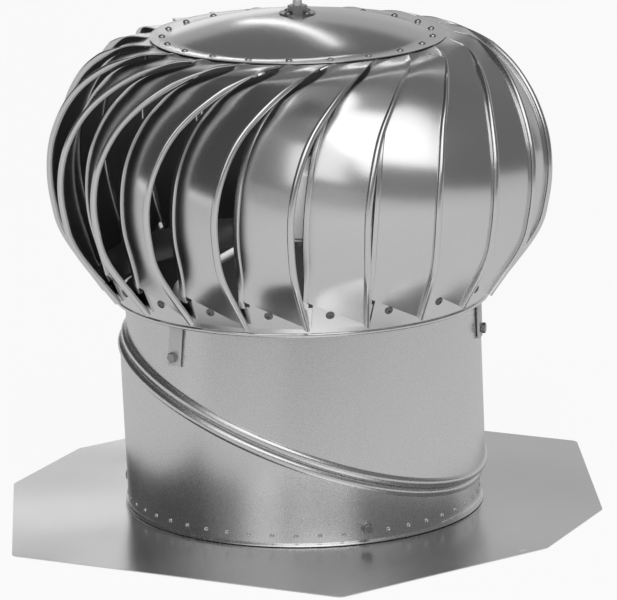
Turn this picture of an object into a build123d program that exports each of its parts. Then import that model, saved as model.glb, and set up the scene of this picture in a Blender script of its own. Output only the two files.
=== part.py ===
"""Turbine roof vent: a wind driven rotor of twenty-one vanes on an adjustable collar.

Millimetres, +Z up.  The origin is on the throat's axis, on the flashing's underside.
"""
import os
from math import atan2, cos, degrees, hypot, radians, sin, sqrt, tan

from build123d import *

# driving dimensions: sheet and throat
sheet = 0.8
throat_radius = 152.4
collar_radius = throat_radius + sheet
collar_top = 190.0
fit_gap = 0.05
sheet_gap = 0.3
drill_depth = 9.0

# roof flashing: a square sheet with clipped corners and an upturned neck
flashing_half = 254.0
flashing_flat_front = 152.0
flashing_flat_side = 62.0
flashing_corner_radius = 8.0
neck_clearance = 2.7
neck_radius = throat_radius - neck_clearance
neck_height = 18.0
neck_bend = 1.0
neck_joint = 0.2
neck_trim = 18.0
collar_foot_gap = 0.6
collar_foot = sheet + collar_foot_gap
nail_slot_length = 10.0
nail_slot_width = 2.2
nail_slot_inset = 15.8
nail_slot_drop = 14.2
nail_slot_place = (flashing_half - nail_slot_inset, -flashing_flat_side - nail_slot_drop)
foot_screw_height = 14.5
foot_screw_azimuths = (-45.0, 75.0, 195.0)
foot_screw_radius = 2.0
foot_screw_head = 5.0
foot_screw_flats = 3.6
foot_screw_washer = 1.0
foot_screw_hex = 3.0
foot_screw_seat = 0.8

# swivel seam: two beaded rims that turn on a plane set at the seam angle
seam_height = 91.3
seam_angle = 21.5
seam_low_azimuth = 12.7
seam_radius = 165.0
seam_band = 9.0
upper_bead = 3.6
lower_bead = 3.2
bead_wall = 1.2
bead_middle = 4.6
lip_height = 0.4
running_gap = 0.5

# rotor drum: the envelope is two arcs that meet at the widest height
vane_count = 21
vane_pitch = 360.0 / vane_count
drum_radius_max = 213.5
drum_height = 297.0
drum_arc_upper = 123.6
drum_arc_lower = 140.0

# bottom ring
foot_rivet_radius = 170.0
foot_rivet_height = 206.0
first_vane_azimuth = -73.9
ring_flare = 25.0
ring_low = 186.5
ring_high = 213.0
ring_bead = 2.2

# vane strip; each row: outer edge height and azimuth, inner edge height, radius and azimuth
vane_stations = (
    (240.0, 8.5, 243.0, 184.5, -7.3),
    (270.0, 7.8, 270.0, 191.5, -7.4),
    (300.0, 7.9, 297.0, 194.0, -7.0),
    (330.0, 9.4, 324.0, 192.0, -6.1),
    (360.0, 12.8, 350.0, 184.0, -4.4),
    (385.0, 19.5, 373.0, 172.5, -1.0),
    (405.0, 30.2, 394.0, 156.0, 6.0),
)
foot_outer = (33.0, -13.5)
foot_inner = (-24.0, 16.6)
foot_left = -15.0
outer_hem = 2.3
outer_hem_inset = 1.5
outer_hem_lift = 0.8
inner_hem_width = 6.5
inner_hem_thickness = 0.6
vane_segments = 12
hem_end = 2.0
tab_thickness = 1.0
tab_lead_outer = 38.9
tab_lead_inner = 22.9
tab_inner_radius = 107.0
tab_shear = 6.0

# top plate
rim_height = 410.0
rim_radius = 126.7
rim_inner_radius = 110.0
top_rivet_radius = 115.6
top_rivet_lead = 39.8
crown_height = 428.0
crown_radius = 18.0
dome_bulge = 3.0

# rivets
rivet_shank = 1.7
top_rivet_head = 3.0
foot_rivet_head = 3.2
rivet_dome = 1.6
rivet_tail = 2.6
rivet_tail_height = 1.2

# spindle, bearings and housing
shaft_radius = 6.0
stud_radius = 4.0
shaft_low = 226.0
housing_low = 234.0
housing_high = 290.0
housing_radius = 15.0
housing_bore = 9.0
housing_chamfer = 1.0
bearing_length = 14.0
bearing_flange = 13.0
bearing_flange_height = 2.5
running_fit = 0.08
thrust_collar_radius = 12.0
thrust_collar_height = 10.0
retainer_radius = 9.0
retainer_height = 1.2
retainer_groove = 1.0
set_screw_radius = 2.0
hub_flange_height = 2.0
hub_boss_radius = 8.4
hub_boss_height = 16.0
hub_rivet_radius = 11.5
hub_rivet_count = 4
hub_rivet_lead = -19.6
washer_radius = 15.5
washer_height = 1.2
nut_flats = 14.4
nut_height = 6.0
nut_turn = 25.4
stud_rise = 12.0
stud_top = crown_height + stud_rise
stud_chamfer = 1.0

# three legs: a flattened foot on the collar and a tube in to the housing
leg_azimuths = (-107.2, 12.8, 132.8)
leg_width = 14.4
leg_foot_thickness = 2.4
leg_tube_width = 7.2
leg_tube_height = 7.0
leg_low = 150.5
leg_bolt_height = 158.5
leg_knee_height = 220.0
leg_twist_low = 26.0
leg_twist_high = 12.0
leg_flat_top = leg_knee_height - leg_twist_low
leg_tube_start = leg_knee_height - leg_twist_high
leg_knee_radius = 11.0
leg_gap = 0.5
leg_hub_height = 246.0
leg_level_radius = 34.0
leg_end_radius = 10.5
leg_socket_gap = 0.1
leg_bolt_radius = 2.5
leg_bolt_flats = 8.0
leg_bolt_head = 3.5
leg_bolt_length = 11.0
leg_bolt_seat = 0.7
leg_nut_seat = 0.6
leg_nut_height = 4.0

up = Vector(0, 0, 1)
slant = radians(seam_angle)
low_side = radians(seam_low_azimuth)
seam_centre = Vector(0, 0, seam_height)
seam_normal = Vector(sin(slant) * cos(low_side), sin(slant) * sin(low_side), cos(slant))
seam_level = Vector(-sin(low_side), cos(low_side), 0)
seam_axis = Axis(seam_centre, seam_normal)
seam_plane = Plane(seam_centre, x_dir=seam_level, z_dir=seam_normal)
seam_profile = Plane(seam_centre, x_dir=seam_level, z_dir=seam_level.cross(seam_normal))


def polar(radius, azimuth, height):
    """Return the point at a radius, azimuth in degrees and height."""
    turn = radians(azimuth)
    return Vector(radius * cos(turn), radius * sin(turn), height)


def drum_radius(height):
    """Return the rotor envelope's radius at a height."""
    arc = drum_arc_upper if height > drum_height else drum_arc_lower
    return drum_radius_max - arc + sqrt(arc**2 - (height - drum_height) ** 2)


def foot_plane(azimuth, lift=0.0):
    """Return the plane that touches the ring's cone at a foot rivet, raised by lift."""
    flare = radians(ring_flare)
    outward = polar(cos(flare), azimuth, -sin(flare))
    origin = polar(foot_rivet_radius, azimuth, foot_rivet_height) + outward * lift
    return Plane(origin, x_dir=polar(1, azimuth + 90, 0), z_dir=outward)


def rim_plane(lead, height):
    """Return the level plane over a top rivet."""
    return Plane(polar(top_rivet_radius, lead, height), x_dir=(1, 0, 0), z_dir=(0, 0, 1))


def radial_plane(radius, azimuth, height):
    """Return the upright plane at a place on a cylinder, its normal pointing outward."""
    outward = polar(1, azimuth, 0)
    return Plane(polar(radius, azimuth, height), x_dir=polar(1, azimuth + 90, 0), z_dir=outward)


def screw_planes(radius):
    """Return the upright planes of the three foot screws at a radius."""
    return [radial_plane(radius, azimuth, foot_screw_height) for azimuth in foot_screw_azimuths]


def collar_wall(azimuth, height, end, band):
    """Return a collar's outer radius at an azimuth and height, found along its straight rulings.

    The rulings run from the level circle at the end height to the seam's circle at the band's offset.
    """
    target = radians(azimuth - seam_low_azimuth)
    around = target
    for _ in range(8):
        level = Vector(collar_radius * cos(around), collar_radius * sin(around), end)
        seam = Vector(
            seam_radius * cos(around) * cos(slant) + band * sin(slant),
            seam_radius * sin(around),
            seam_height - seam_radius * cos(around) * sin(slant) + band * cos(slant),
        )
        point = level + (seam - level) * ((height - end) / (seam.Z - end))
        miss = target - atan2(point.Y, point.X)
        around += atan2(sin(miss), cos(miss))
    return hypot(point.X, point.Y)


def leg_wall(azimuth, height):
    """Return the upper collar's outer radius where a leg lies on it."""
    return collar_wall(azimuth, height, collar_top, seam_band)


# roof flashing
with BuildPart() as roof_flashing:
    with BuildSketch() as outline:
        with BuildLine():
            Polyline(
                (flashing_half, flashing_flat_side),
                (flashing_flat_front, flashing_half),
                (-flashing_flat_front, flashing_half),
                (-flashing_half, flashing_flat_side),
                (-flashing_half, -flashing_flat_side),
                (-flashing_flat_front, -flashing_half),
                (flashing_flat_front, -flashing_half),
                (flashing_half, -flashing_flat_side),
                close=True,
            )
        make_face()
        fillet(outline.vertices(), flashing_corner_radius)
        Circle(neck_radius + neck_bend + neck_joint, mode=Mode.SUBTRACT)
        clip_angle = degrees(atan2(flashing_half - flashing_flat_side, flashing_half - flashing_flat_front))
        with Locations(nail_slot_place):
            SlotOverall(nail_slot_length, nail_slot_width, rotation=clip_angle, mode=Mode.SUBTRACT)
    extrude(amount=sheet)
roof_flashing.part.label = "roof_flashing"

# flashing neck: a flanged band set in the flashing's hole, trimmed to clear the collar's low side
with BuildPart() as flashing_neck:
    with BuildSketch(Plane.XZ):
        with BuildLine():
            Line((neck_radius + neck_bend, 0), (neck_radius + neck_bend, sheet))
            RadiusArc((neck_radius + neck_bend, sheet), (neck_radius, sheet + neck_bend), neck_bend)
            Polyline(
                (neck_radius, sheet + neck_bend),
                (neck_radius, neck_height),
                (neck_radius - sheet, neck_height),
                (neck_radius - sheet, sheet + neck_bend),
            )
            RadiusArc(
                (neck_radius - sheet, sheet + neck_bend), (neck_radius + neck_bend, 0), -neck_bend - sheet
            )
        make_face()
    revolve(axis=Axis.Z)
    trim_centre = seam_centre - up * (neck_trim / cos(slant))
    with BuildSketch(Plane(trim_centre, x_dir=seam_level, z_dir=seam_normal)):
        Circle((neck_radius + fit_gap) / cos(slant))
    extrude(amount=seam_radius, dir=up, mode=Mode.SUBTRACT)
    with BuildSketch(*screw_planes(neck_radius)):
        Circle(foot_screw_radius + fit_gap)
    extrude(amount=drill_depth, both=True, mode=Mode.SUBTRACT)
flashing_neck.part.label = "flashing_neck"


# lower collar: from the throat's circle to the seam's tilted circle, with its bead and tongue
with BuildPart() as lower_collar:
    foot = Plane((0, 0, collar_foot), x_dir=seam_level, z_dir=up)
    with BuildSketch(foot):
        Circle(collar_radius)
    with BuildSketch(seam_plane.offset(-seam_band)):
        Circle(seam_radius)
    loft(ruled=True)
    with BuildSketch(foot):
        Circle(throat_radius)
    with BuildSketch(seam_plane.offset(-seam_band)):
        Circle(seam_radius - sheet)
    loft(ruled=True, mode=Mode.SUBTRACT)
    with BuildSketch(seam_profile):
        with BuildLine():
            tongue = seam_radius - sheet + running_gap
            tongue_top = seam_band - 2 * running_gap
            tongue_crest = seam_radius + upper_bead - bead_wall - running_gap
            Line((seam_radius - sheet, -seam_band), (seam_radius, -seam_band))
            ThreePointArc(
                (seam_radius, -seam_band),
                (seam_radius + lower_bead, -bead_middle),
                (seam_radius + lip_height, -2 * lip_height),
            )
            Polyline(
                (seam_radius + lip_height, -2 * lip_height),
                (tongue, -lip_height),
                (tongue, lip_height),
            )
            ThreePointArc(
                (tongue, lip_height),
                (tongue_crest, bead_middle),
                (tongue - 2 * running_gap, tongue_top),
            )
            Line((tongue - 2 * running_gap, tongue_top), (tongue - 2 * running_gap - sheet, tongue_top))
            ThreePointArc(
                (tongue - 2 * running_gap - sheet, tongue_top),
                (tongue_crest - bead_wall, bead_middle),
                (tongue - sheet, lip_height),
            )
            Line((tongue - sheet, lip_height), (tongue - sheet, -lip_height - sheet))
            ThreePointArc(
                (tongue - sheet, -lip_height - sheet),
                (seam_radius + lower_bead - bead_wall, -bead_middle),
                (seam_radius - sheet, -seam_band),
            )
        make_face()
    revolve(axis=seam_axis)
    with BuildSketch(*screw_planes(collar_radius)):
        Circle(foot_screw_radius + fit_gap)
    extrude(amount=drill_depth, both=True, mode=Mode.SUBTRACT)
lower_collar.part.label = "lower_collar"

# upper collar: the same wall turned over, with the bead that rides on the tongue
with BuildPart() as upper_collar:
    mouth = Plane((0, 0, collar_top), x_dir=seam_level, z_dir=up)
    with BuildSketch(seam_plane.offset(seam_band)):
        Circle(seam_radius)
    with BuildSketch(mouth):
        Circle(collar_radius)
    loft(ruled=True)
    with BuildSketch(seam_plane.offset(seam_band)):
        Circle(seam_radius - sheet)
    with BuildSketch(mouth):
        Circle(throat_radius)
    loft(ruled=True, mode=Mode.SUBTRACT)
    with BuildSketch(seam_profile):
        with BuildLine():
            lip = seam_radius - sheet + 2 * running_gap
            Line((seam_radius - sheet, seam_band), (seam_radius, seam_band))
            ThreePointArc(
                (seam_radius, seam_band),
                (seam_radius + upper_bead, bead_middle),
                (lip + sheet, lip_height),
            )
            Line((lip + sheet, lip_height), (lip, lip_height))
            ThreePointArc(
                (lip, lip_height),
                (seam_radius + upper_bead - bead_wall, bead_middle),
                (seam_radius - sheet, seam_band),
            )
        make_face()
    revolve(axis=seam_axis)
    bolt_planes = [radial_plane(collar_radius, azimuth, leg_bolt_height) for azimuth in leg_azimuths]
    with BuildSketch(*bolt_planes):
        Circle(leg_bolt_radius + fit_gap)
    extrude(amount=drill_depth, both=True, mode=Mode.SUBTRACT)
upper_collar.part.label = "upper_collar"

# vane: outer edge, inner edge and the frame of each cross-section
crease_plane = foot_plane(0, sheet_gap + sheet / 2)
edges = [(crease_plane.from_local_coords(foot_outer), crease_plane.from_local_coords(foot_inner))]
for outer_height, outer_azimuth, inner_height, inner_radius, inner_azimuth in vane_stations:
    outer = polar(drum_radius(outer_height), outer_azimuth, outer_height)
    edges.append((outer, polar(inner_radius, inner_azimuth, inner_height)))
with BuildLine() as outer_line:
    Spline(*[outer for outer, inner in edges])
with BuildLine() as inner_line:
    Spline(*[inner for outer, inner in edges])
shares = [step / vane_segments for step in range(vane_segments + 1)]
stations = [(outer_line.line @ share, inner_line.line @ share) for share in shares]
tab_height = rim_height - sheet - sheet_gap - sheet / 2
rim_edges = (polar(rim_radius, tab_lead_outer, tab_height), polar(rim_radius, tab_lead_inner, tab_height))
tab_edges = (
    polar(tab_inner_radius, tab_lead_outer + tab_shear, tab_height),
    polar(tab_inner_radius, tab_lead_inner + tab_shear, tab_height),
)


def section_plane(edge_pair, outward):
    """Return a cross-section's plane: X across the strip from its outer edge, Y outward."""
    across = (edge_pair[1] - edge_pair[0]).normalized()
    return Plane(edge_pair[0], x_dir=across, z_dir=across.cross(outward))


def station_planes():
    """Return the planes of the strip's cross-sections from the foot crease to the shoulder."""
    planes = [section_plane(stations[0], crease_plane.z_dir)]
    chain = stations + [rim_edges]
    for before, here, after in zip(chain, chain[1:], chain[2:]):
        along = after[0] + after[1] - before[0] - before[1]
        planes.append(section_plane(here, along.cross(here[1] - here[0])))
    return planes


def strip_section(plane, width, hem, lift, fold):
    """Return the strip's cross-section on a plane: outer bead, sheet and inner fold."""
    inset = hem * outer_hem_inset / outer_hem
    over = inset + sqrt(hem**2 - (lift - sheet / 2) ** 2)
    under = inset + sqrt(hem**2 - (lift + sheet / 2) ** 2)
    with BuildSketch(plane) as section:
        with BuildLine():
            ThreePointArc((over, sheet / 2), (inset - hem, lift), (under, -sheet / 2))
            Polyline(
                (under, -sheet / 2),
                (width - inner_hem_width, -sheet / 2),
                (width - inner_hem_width, -fold),
                (width, -fold),
                (width, fold),
                (width - inner_hem_width, fold),
                (width - inner_hem_width, sheet / 2),
                (over, sheet / 2),
            )
        make_face()
    return section.sketch


with BuildPart() as vane:
    planes = station_planes()
    widths = [(inner - outer).length for outer, inner in stations]
    fold = sheet / 2 + inner_hem_thickness
    hemmed = [
        strip_section(plane, width, outer_hem, outer_hem_lift, fold)
        for plane, width in zip(planes, widths)
    ]
    flat_planes = [planes[-1].offset(hem_end), section_plane(rim_edges, up), section_plane(tab_edges, up)]
    flat_widths = [widths[-1], (rim_edges[1] - rim_edges[0]).length, (tab_edges[1] - tab_edges[0]).length]
    flat = [
        strip_section(plane, width, tab_thickness / 2, 0, tab_thickness / 2)
        for plane, width in zip(flat_planes, flat_widths)
    ]
    loft(hemmed + flat, ruled=True)
    with BuildSketch(crease_plane):
        with BuildLine():
            slope = (foot_inner[1] - foot_outer[1]) / (foot_inner[0] - foot_outer[0])
            Polyline(
                (foot_left, foot_outer[1]),
                foot_outer,
                (foot_left, foot_outer[1] + slope * (foot_left - foot_outer[0])),
                close=True,
            )
        make_face()
    extrude(amount=sheet / 2, both=True)
    with BuildSketch(crease_plane, rim_plane(top_rivet_lead, tab_height)):
        Circle(rivet_shank + fit_gap)
    extrude(amount=drill_depth, both=True, mode=Mode.SUBTRACT)

# bottom ring: a flared band with a rolled lower edge
with BuildPart() as bottom_ring:
    with BuildSketch(Plane.XZ):
        with BuildLine():
            flare = tan(radians(ring_flare))
            low_radius = foot_rivet_radius + (ring_low - foot_rivet_height) * flare
            high_radius = foot_rivet_radius + (ring_high - foot_rivet_height) * flare
            wall = sheet / cos(radians(ring_flare))
            Polyline(
                (low_radius, ring_low),
                (high_radius, ring_high),
                (high_radius - wall, ring_high),
                (low_radius - wall, ring_low),
                close=True,
            )
        make_face()
        with Locations((low_radius - wall / 2, ring_low)):
            Circle(ring_bead)
    revolve(axis=Axis.Z)
    with BuildSketch(*[foot_plane(first_vane_azimuth + vane_pitch * k) for k in range(vane_count)]):
        Circle(rivet_shank + fit_gap)
    extrude(amount=drill_depth, both=True, mode=Mode.SUBTRACT)
bottom_ring.part.label = "bottom_ring"

# top plate: flat rim, shallow dome and a flat crown with the stud's hole
with BuildPart() as top_plate:
    with BuildSketch(Plane.XZ):
        with BuildLine():
            dome_height = (crown_height + rim_height) / 2 + dome_bulge
            dome_middle = ((crown_radius + rim_inner_radius) / 2, dome_height)
            drop = Vector(0, -sheet)
            Line((stud_radius + fit_gap, crown_height), (crown_radius, crown_height))
            dome = ThreePointArc((crown_radius, crown_height), dome_middle, (rim_inner_radius, rim_height))
            Polyline(
                (rim_inner_radius, rim_height),
                (rim_radius, rim_height),
                (rim_radius, rim_height - sheet),
                (rim_inner_radius, rim_height - sheet),
            )
            ThreePointArc(dome @ 1 + drop, dome @ 0.5 + drop, dome @ 0 + drop)
            Polyline(
                (crown_radius, crown_height - sheet),
                (stud_radius + fit_gap, crown_height - sheet),
                (stud_radius + fit_gap, crown_height),
            )
        make_face()
    revolve(axis=Axis.Z)
    first_lead = first_vane_azimuth + top_rivet_lead
    with BuildSketch(*[rim_plane(first_lead + vane_pitch * k, rim_height) for k in range(vane_count)]):
        Circle(rivet_shank + fit_gap)
    extrude(amount=drill_depth, both=True, mode=Mode.SUBTRACT)
    with BuildSketch(Plane.XY.offset(crown_height)):
        with PolarLocations(hub_rivet_radius, hub_rivet_count, hub_rivet_lead):
            Circle(rivet_shank + fit_gap)
    extrude(amount=drill_depth, both=True, mode=Mode.SUBTRACT)
top_plate.part.label = "top_plate"


def rivet(head, grip):
    """Return a rivet whose head sits on its plane and whose tail closes below the grip."""
    with BuildPart() as body:
        with BuildSketch(Plane.XZ):
            with BuildLine():
                Line((0, rivet_dome), (0, -grip - rivet_tail_height))
                Polyline(
                    (0, -grip - rivet_tail_height),
                    (rivet_tail, -grip - rivet_tail_height),
                    (rivet_tail, -grip),
                    (rivet_shank, -grip),
                    (rivet_shank, fit_gap),
                    (head, fit_gap),
                )
                TangentArc((0, rivet_dome), (head, fit_gap), tangent=(1, 0))
            make_face()
        revolve(axis=Axis.Z)
    return body.part


# rivets through the vane feet and the bottom ring
foot_rivet = rivet(foot_rivet_head, 2 * sheet + sheet_gap + fit_gap)
with BuildPart() as bottom_rivets:
    seats = [foot_plane(first_vane_azimuth + vane_pitch * k, sheet_gap + sheet) for k in range(vane_count)]
    with Locations(*seats):
        add(foot_rivet)
bottom_rivets.part.label = "bottom_rivets"

# rivets through the top plate's rim and the vane tabs
rim_rivet = rivet(top_rivet_head, sheet + sheet_gap + tab_thickness + fit_gap)
with BuildPart() as top_rivets:
    seats = [rim_plane(first_lead + vane_pitch * k, rim_height) for k in range(vane_count)]
    with Locations(*seats):
        add(rim_rivet)
top_rivets.part.label = "top_rivets"

# hub flange: a disc and boss under the crown, screwed down to the shaft's shoulder
hub_top = crown_height - sheet
with BuildPart() as hub_flange:
    with BuildSketch(Plane.XY.offset(hub_top - hub_flange_height)):
        Circle(crown_radius)
        Circle(stud_radius + fit_gap, mode=Mode.SUBTRACT)
        with PolarLocations(hub_rivet_radius, hub_rivet_count, hub_rivet_lead):
            Circle(rivet_shank + fit_gap, mode=Mode.SUBTRACT)
    extrude(amount=hub_flange_height)
    with BuildSketch(Plane.XY.offset(hub_top - hub_flange_height)):
        Circle(hub_boss_radius)
        Circle(shaft_radius + fit_gap, mode=Mode.SUBTRACT)
    extrude(amount=-hub_boss_height)
hub_flange.part.label = "hub_flange"

# rosette washer, hub rivets and nut on the crown
with BuildPart() as top_washer:
    with BuildSketch(Plane.XY.offset(crown_height)):
        Circle(washer_radius)
        Circle(stud_radius + fit_gap, mode=Mode.SUBTRACT)
        with PolarLocations(hub_rivet_radius, hub_rivet_count, hub_rivet_lead):
            Circle(rivet_shank + fit_gap, mode=Mode.SUBTRACT)
    extrude(amount=washer_height)
top_washer.part.label = "top_washer"

crown_seat = crown_height + washer_height
hub_rivet = rivet(top_rivet_head, washer_height + sheet + hub_flange_height + fit_gap)
with BuildPart() as hub_rivets:
    with Locations(Plane.XY.offset(crown_seat)):
        with PolarLocations(hub_rivet_radius, hub_rivet_count, hub_rivet_lead):
            add(hub_rivet)
hub_rivets.part.label = "hub_rivets"

with BuildPart() as top_nut:
    with BuildSketch(Plane.XY.offset(crown_seat)):
        RegularPolygon(nut_flats / 2, 6, major_radius=False, rotation=nut_turn)
        Circle(stud_radius + fit_gap, mode=Mode.SUBTRACT)
    extrude(amount=nut_height)
top_nut.part.label = "top_nut"

# spindle: shoulder under the hub flange, stud above it, groove for the retaining ring below
retainer_top = housing_low - bearing_flange_height - 2 * running_fit
with BuildPart() as shaft:
    with BuildSketch(Plane.XZ):
        with BuildLine():
            Polyline(
                (0, shaft_low),
                (shaft_radius, shaft_low),
                (shaft_radius, retainer_top - retainer_height - fit_gap),
                (shaft_radius - retainer_groove, retainer_top - retainer_height - fit_gap),
                (shaft_radius - retainer_groove, retainer_top + fit_gap),
                (shaft_radius, retainer_top + fit_gap),
                (shaft_radius, hub_top - hub_flange_height),
                (stud_radius, hub_top - hub_flange_height),
                (stud_radius, stud_top),
                (0, stud_top),
                close=True,
            )
        make_face()
    revolve(axis=Axis.Z)
    chamfer(shaft.edges().group_by(Axis.Z)[-1], stud_chamfer)
shaft.part.label = "shaft"

with BuildPart() as retaining_ring:
    with BuildSketch(Plane.XY.offset(retainer_top - retainer_height)):
        Circle(retainer_radius)
        Circle(shaft_radius - retainer_groove + fit_gap, mode=Mode.SUBTRACT)
        with Locations((retainer_radius, 0)):
            Rectangle(2 * retainer_radius, shaft_radius, mode=Mode.SUBTRACT)
    extrude(amount=retainer_height)
retaining_ring.part.label = "retaining_ring"

# bearing housing: a bored sleeve with three sockets for the leg tubes
with BuildPart() as bearing_housing:
    with BuildSketch(Plane.XY.offset(housing_low)):
        Circle(housing_radius)
        Circle(housing_bore, mode=Mode.SUBTRACT)
    extrude(amount=housing_high - housing_low)
    outer_edges = bearing_housing.edges().filter_by(GeomType.CIRCLE).sort_by(SortBy.RADIUS)[-2:]
    chamfer(outer_edges, housing_chamfer)
    socket_planes = [radial_plane(leg_end_radius, azimuth, leg_hub_height) for azimuth in leg_azimuths]
    with BuildSketch(*socket_planes):
        SlotOverall(leg_tube_width + 2 * leg_socket_gap, leg_tube_height + 2 * leg_socket_gap)
    extrude(amount=housing_radius, mode=Mode.SUBTRACT)
bearing_housing.part.label = "bearing_housing"


def bearing(seat, direction):
    """Return a flanged bush pressed into an end of the housing, its flange outside."""
    with BuildPart() as bush:
        with BuildSketch(Plane((0, 0, seat), z_dir=(0, 0, direction))):
            Circle(bearing_flange)
            Circle(shaft_radius + running_fit, mode=Mode.SUBTRACT)
        extrude(amount=bearing_flange_height)
        with BuildSketch(Plane((0, 0, seat), z_dir=(0, 0, -direction))):
            Circle(housing_bore - fit_gap)
            Circle(shaft_radius + running_fit, mode=Mode.SUBTRACT)
        extrude(amount=bearing_length)
    return bush


upper_bearing = bearing(housing_high, 1)
upper_bearing.part.label = "upper_bearing"
lower_bearing = bearing(housing_low, -1)
lower_bearing.part.label = "lower_bearing"

# thrust collar on the shaft, running on the upper bearing's flange
with BuildPart() as thrust_collar:
    thrust_face = housing_high + bearing_flange_height + 2 * running_fit
    with BuildSketch(Plane.XY.offset(thrust_face)):
        Circle(thrust_collar_radius)
        Circle(shaft_radius + fit_gap, mode=Mode.SUBTRACT)
    extrude(amount=thrust_collar_height)
    with BuildSketch(radial_plane(shaft_radius, 0, thrust_face + thrust_collar_height / 2)):
        Circle(set_screw_radius)
    extrude(amount=thrust_collar_radius, mode=Mode.SUBTRACT)
thrust_collar.part.label = "thrust_collar"


def leg(azimuth):
    """Return a leg: flattened foot on the collar, round tube bent in over the collar to the housing."""
    foot_radius = leg_wall(azimuth, leg_low) + leg_gap + leg_foot_thickness / 2
    pass_radius = collar_radius + leg_gap + leg_foot_thickness / 2
    side = Plane((0, 0, 0), x_dir=polar(1, azimuth, 0), z_dir=polar(1, azimuth - 90, 0))
    across = polar(1, azimuth + 90, 0)
    with BuildPart() as body:
        with BuildLine(side) as route:
            foot_line = Line((foot_radius, leg_low), (pass_radius, leg_flat_top))
            rise = Line((pass_radius, leg_flat_top), (pass_radius, leg_tube_start))
            tube = FilletPolyline(
                (pass_radius, leg_tube_start),
                (pass_radius, leg_knee_height),
                (leg_level_radius, leg_hub_height),
                (leg_end_radius, leg_hub_height),
                radius=leg_knee_radius,
            )
        with BuildSketch(Plane(foot_line @ 0, x_dir=across, z_dir=foot_line % 0)):
            SlotOverall(leg_width, leg_foot_thickness)
        with BuildSketch(Plane(foot_line @ 1, x_dir=across, z_dir=up)):
            SlotOverall(leg_width, leg_foot_thickness)
        with BuildSketch(Plane(rise @ 1, x_dir=across, z_dir=up)):
            SlotOverall(leg_tube_width, leg_tube_height)
        loft(ruled=True)
        with BuildSketch(Plane(rise @ 1, x_dir=across, z_dir=up)):
            SlotOverall(leg_tube_width, leg_tube_height)
        sweep(path=tube)
        with BuildSketch(radial_plane(foot_radius, azimuth, leg_bolt_height)):
            Circle(leg_bolt_radius + fit_gap)
        extrude(amount=drill_depth, both=True, mode=Mode.SUBTRACT)
    return body


legs = [leg(azimuth) for azimuth in leg_azimuths]
for number, body in enumerate(legs):
    body.part.label = f"leg_{number + 1}"

# bolts and nuts that hold the legs to the upper collar
with BuildPart() as leg_bolts:
    for azimuth in leg_azimuths:
        head_seat = leg_wall(azimuth, leg_bolt_height) + leg_gap + leg_foot_thickness + leg_bolt_seat
        with BuildSketch(radial_plane(head_seat, azimuth, leg_bolt_height)):
            RegularPolygon(leg_bolt_flats / 2, 6, major_radius=False)
        extrude(amount=leg_bolt_head)
        with BuildSketch(radial_plane(head_seat, azimuth, leg_bolt_height)):
            Circle(leg_bolt_radius)
        extrude(amount=-leg_bolt_length)
leg_bolts.part.label = "leg_bolts"

with BuildPart() as leg_nuts:
    for azimuth in leg_azimuths:
        nut_seat = leg_wall(azimuth, leg_bolt_height) - sheet - leg_nut_seat
        with BuildSketch(radial_plane(nut_seat, azimuth, leg_bolt_height)):
            RegularPolygon(leg_bolt_flats / 2, 6, major_radius=False)
            Circle(leg_bolt_radius + fit_gap, mode=Mode.SUBTRACT)
        extrude(amount=-leg_nut_height)
leg_nuts.part.label = "leg_nuts"

# hex washer head screws through the collar's foot
with BuildPart() as foot_screws:
    for azimuth in foot_screw_azimuths:
        wall_radius = collar_wall(azimuth, foot_screw_height, collar_foot, -seam_band)
        seat = radial_plane(wall_radius + foot_screw_seat, azimuth, foot_screw_height)
        with BuildSketch(seat):
            Circle(foot_screw_head)
        extrude(amount=foot_screw_washer)
        with BuildSketch(seat):
            RegularPolygon(foot_screw_flats, 6, major_radius=False)
        extrude(amount=foot_screw_washer + foot_screw_hex)
        with BuildSketch(seat):
            Circle(foot_screw_radius)
        extrude(amount=neck_radius - sheet + fit_gap - wall_radius - foot_screw_seat)
foot_screws.part.label = "foot_screws"

# files: one for each node
os.makedirs("parts", exist_ok=True)
nodes = [roof_flashing, flashing_neck, lower_collar, foot_screws, upper_collar, *legs, leg_bolts, leg_nuts]
nodes += [bearing_housing, upper_bearing, lower_bearing, shaft, thrust_collar, retaining_ring]
nodes += [top_plate, hub_flange, top_washer, hub_rivets, top_nut, bottom_ring, top_rivets, bottom_rivets]
for node in nodes:
    export_step(node.part, f"parts/{node.part.label}.step")
for number in range(vane_count):
    with BuildPart() as one_vane:
        add(vane.part, rotation=(0, 0, first_vane_azimuth + vane_pitch * number))
    one_vane.part.label = f"vane_{number + 1:02d}"
    export_step(one_vane.part, f"parts/{one_vane.part.label}.step")
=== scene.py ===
"""Studio scene of a turbine roof vent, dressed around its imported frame.

Sizes are written in millimetres and become metres where a mesh is made.
"""

import math

import bmesh
import bpy
from mathutils import Matrix, Vector


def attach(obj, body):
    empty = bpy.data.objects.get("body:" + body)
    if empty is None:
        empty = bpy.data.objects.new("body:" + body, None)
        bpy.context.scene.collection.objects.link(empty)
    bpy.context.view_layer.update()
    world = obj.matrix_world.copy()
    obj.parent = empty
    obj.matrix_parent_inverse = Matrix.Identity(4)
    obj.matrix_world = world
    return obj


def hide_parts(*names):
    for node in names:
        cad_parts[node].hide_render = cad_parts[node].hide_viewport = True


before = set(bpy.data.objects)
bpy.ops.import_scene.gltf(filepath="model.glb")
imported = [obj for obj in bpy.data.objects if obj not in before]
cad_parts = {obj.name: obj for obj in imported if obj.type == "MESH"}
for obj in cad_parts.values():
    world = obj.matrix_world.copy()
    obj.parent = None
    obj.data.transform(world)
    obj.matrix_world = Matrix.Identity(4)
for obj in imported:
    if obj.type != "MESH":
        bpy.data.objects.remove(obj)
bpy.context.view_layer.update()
MM = 0.001

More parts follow.
